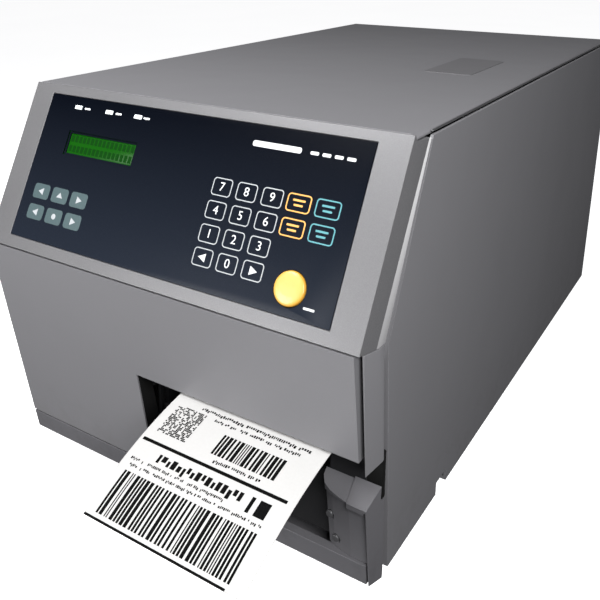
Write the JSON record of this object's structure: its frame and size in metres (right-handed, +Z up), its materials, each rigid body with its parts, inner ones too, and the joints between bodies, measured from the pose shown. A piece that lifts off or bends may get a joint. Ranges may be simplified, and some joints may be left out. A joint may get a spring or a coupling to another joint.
{
  "type": "thermal label printer",
  "caption": "Grey desktop thermal label printer with a sloping keypad console, display, round print button, hinged front and side doors, label roll and a label in its exit.",
  "frame": {"origin": "centre of the bounding box at the soles of the feet", "axes": "-Y is the front with the console and label exit, +X is the media door's side, +Z is up"},
  "size_m": [0.276, 0.5526, 0.256],
  "materials": {
    "casing": "fine satin paint, mid grey",
    "silver": "satin silver paint on moulded plastic",
    "chassis": "dark grey paint",
    "black": "matte black",
    "overlay": "printed polyester film, near black navy",
    "display": "green liquid crystal display",
    "board": "solder mask green",
    "button": "satin yellow",
    "lamp": "clear lamp window",
    "steel": "ground steel",
    "zinc": "zinc plated steel",
    "component": "metal can around packed components",
    "rubber": "black rubber",
    "paper": "smooth white label paper",
    "core": "brown cardboard",
    "hub": "black moulded plastic",
    "lever": "green moulded plastic"
  },
  "bodies": {
    "chassis": {"outer_cover": "casing", "front_post": "casing", "console_bezel": "silver", "base_tray": "chassis", "centre_wall": "chassis", "rear_panel": "chassis", "lower_casting": "chassis", "bearing_bracket_right": "chassis", "lower_guide_plate": "black", "door_magnet": "black", "web_guide_plate": "black", "gap_sensor": "black", "power_inlet": "black", "keypad_overlay": "overlay", "display_module": "display", "console_board": "board", "main_board": "board", "status_lamp_power": "lamp", "status_lamp_ready": "lamp", "status_lamp_fault": "lamp", "front_hinge_rod": "steel", "side_hinge_rod": "steel", "tear_bar": "steel", "head_pivot_shaft": "steel", "supply_shaft": "steel", "guide_screw_upper": "zinc", "guide_screw_lower": "zinc", "print_side_left": "zinc", "print_crossbeam": "zinc", "motor_bracket": "zinc", "usb_port": "zinc", "network_port": "zinc", "serial_port": "zinc", "power_supply": "component", "stepper_motor": "component", "foot_front_left": "rubber", "foot_rear_left": "rubber", "foot_front_right": "rubber", "foot_rear_right": "rubber", "drive_belt": "rubber", "printed_label": "paper", "label_web": "paper"},
    "media_door": {"media_door": "casing"},
    "front_door": {"front_door": "casing"},
    "print_button": {"print_button": "button"},
    "power_rocker": {"power_rocker": "black"},
    "print_head": {"head_bracket": "black", "printhead": "component"},
    "head_lever": {"head_lever": "lever"},
    "platen": {"platen_roller": "rubber", "platen_shaft": "steel", "platen_pulley": "black"},
    "motor_rotor": {"motor_pulley": "steel"},
    "media_roll": {"supply_hub": "hub", "roll_core": "core", "label_roll": "paper"},
    "ribbon_supply": {"ribbon_supply_spindle": "hub"},
    "ribbon_rewind": {"ribbon_rewind_spindle": "hub"},
    "guide_roller": {"guide_roller": "steel"},
    "edge_guide": {"edge_guide": "lever"}
  },
  "joints": [
    {"name": "media_door_hinge", "type": "hinge", "parent": "chassis", "child": "media_door", "pos_m": [0.13525, 0.06225, 0.255], "axis": [0, -1, 0], "range_deg": [0, 180]},
    {"name": "front_door_hinge", "type": "hinge", "parent": "chassis", "child": "front_door", "pos_m": [-0.1366, -0.17765, 0.093], "axis": [0, 0, -1], "range_deg": [0, 90]},
    {"name": "print_button_press", "type": "slide", "parent": "chassis", "child": "print_button", "axis": [0, 0.8764, -0.4816], "range_m": [0, 0.0012], "stiffness_N_per_m": 900, "springref_m": -0.0005},
    {"name": "power_rocker_tilt", "type": "hinge", "parent": "chassis", "child": "power_rocker", "pos_m": [-0.075, 0.27225, 0.041], "axis": [-1, 0, 0], "range_deg": [0, 16]},
    {"name": "head_lift", "type": "hinge", "parent": "chassis", "child": "print_head", "pos_m": [0.06, -0.11175, 0.121], "axis": [-1, 0, 0], "range_deg": [0, 8]},
    {"name": "head_lever_turn", "type": "hinge", "parent": "chassis", "child": "head_lever", "pos_m": [0.127, -0.13575, 0.125], "axis": [-1, 0, 0], "range_deg": [0, 60]},
    {"name": "platen_spin", "type": "hinge", "parent": "chassis", "child": "platen", "pos_m": [0.06, -0.16975, 0.086], "axis": [1, 0, 0], "continuous": true},
    {"name": "motor_spin", "type": "hinge", "parent": "chassis", "child": "motor_rotor", "pos_m": [-0.038, -0.09575, 0.069], "axis": [1, 0, 0], "continuous": true},
    {"name": "media_roll_spin", "type": "hinge", "parent": "chassis", "child": "media_roll", "pos_m": [0.06, 0.13725, 0.127], "axis": [1, 0, 0], "continuous": true},
    {"name": "ribbon_supply_spin", "type": "hinge", "parent": "chassis", "child": "ribbon_supply", "pos_m": [0.06, 0.01025, 0.215], "axis": [1, 0, 0], "continuous": true},
    {"name": "ribbon_rewind_spin", "type": "hinge", "parent": "chassis", "child": "ribbon_rewind", "pos_m": [0.06, -0.06775, 0.207], "axis": [1, 0, 0], "continuous": true},
    {"name": "guide_roller_spin", "type": "hinge", "parent": "chassis", "child": "guide_roller", "pos_m": [0.06, -0.05775, 0.069], "axis": [1, 0, 0], "continuous": true},
    {"name": "edge_guide_slide", "type": "slide", "parent": "chassis", "child": "edge_guide", "axis": [1, 0, 0], "range_m": [0, 0.006]}
  ],
  "couplings": [
    {"joint": "head_lever_turn", "follows": "head_lift", "ratio": 7.5},
    {"joint": "motor_spin", "follows": "platen_spin", "ratio": 2}
  ]
}
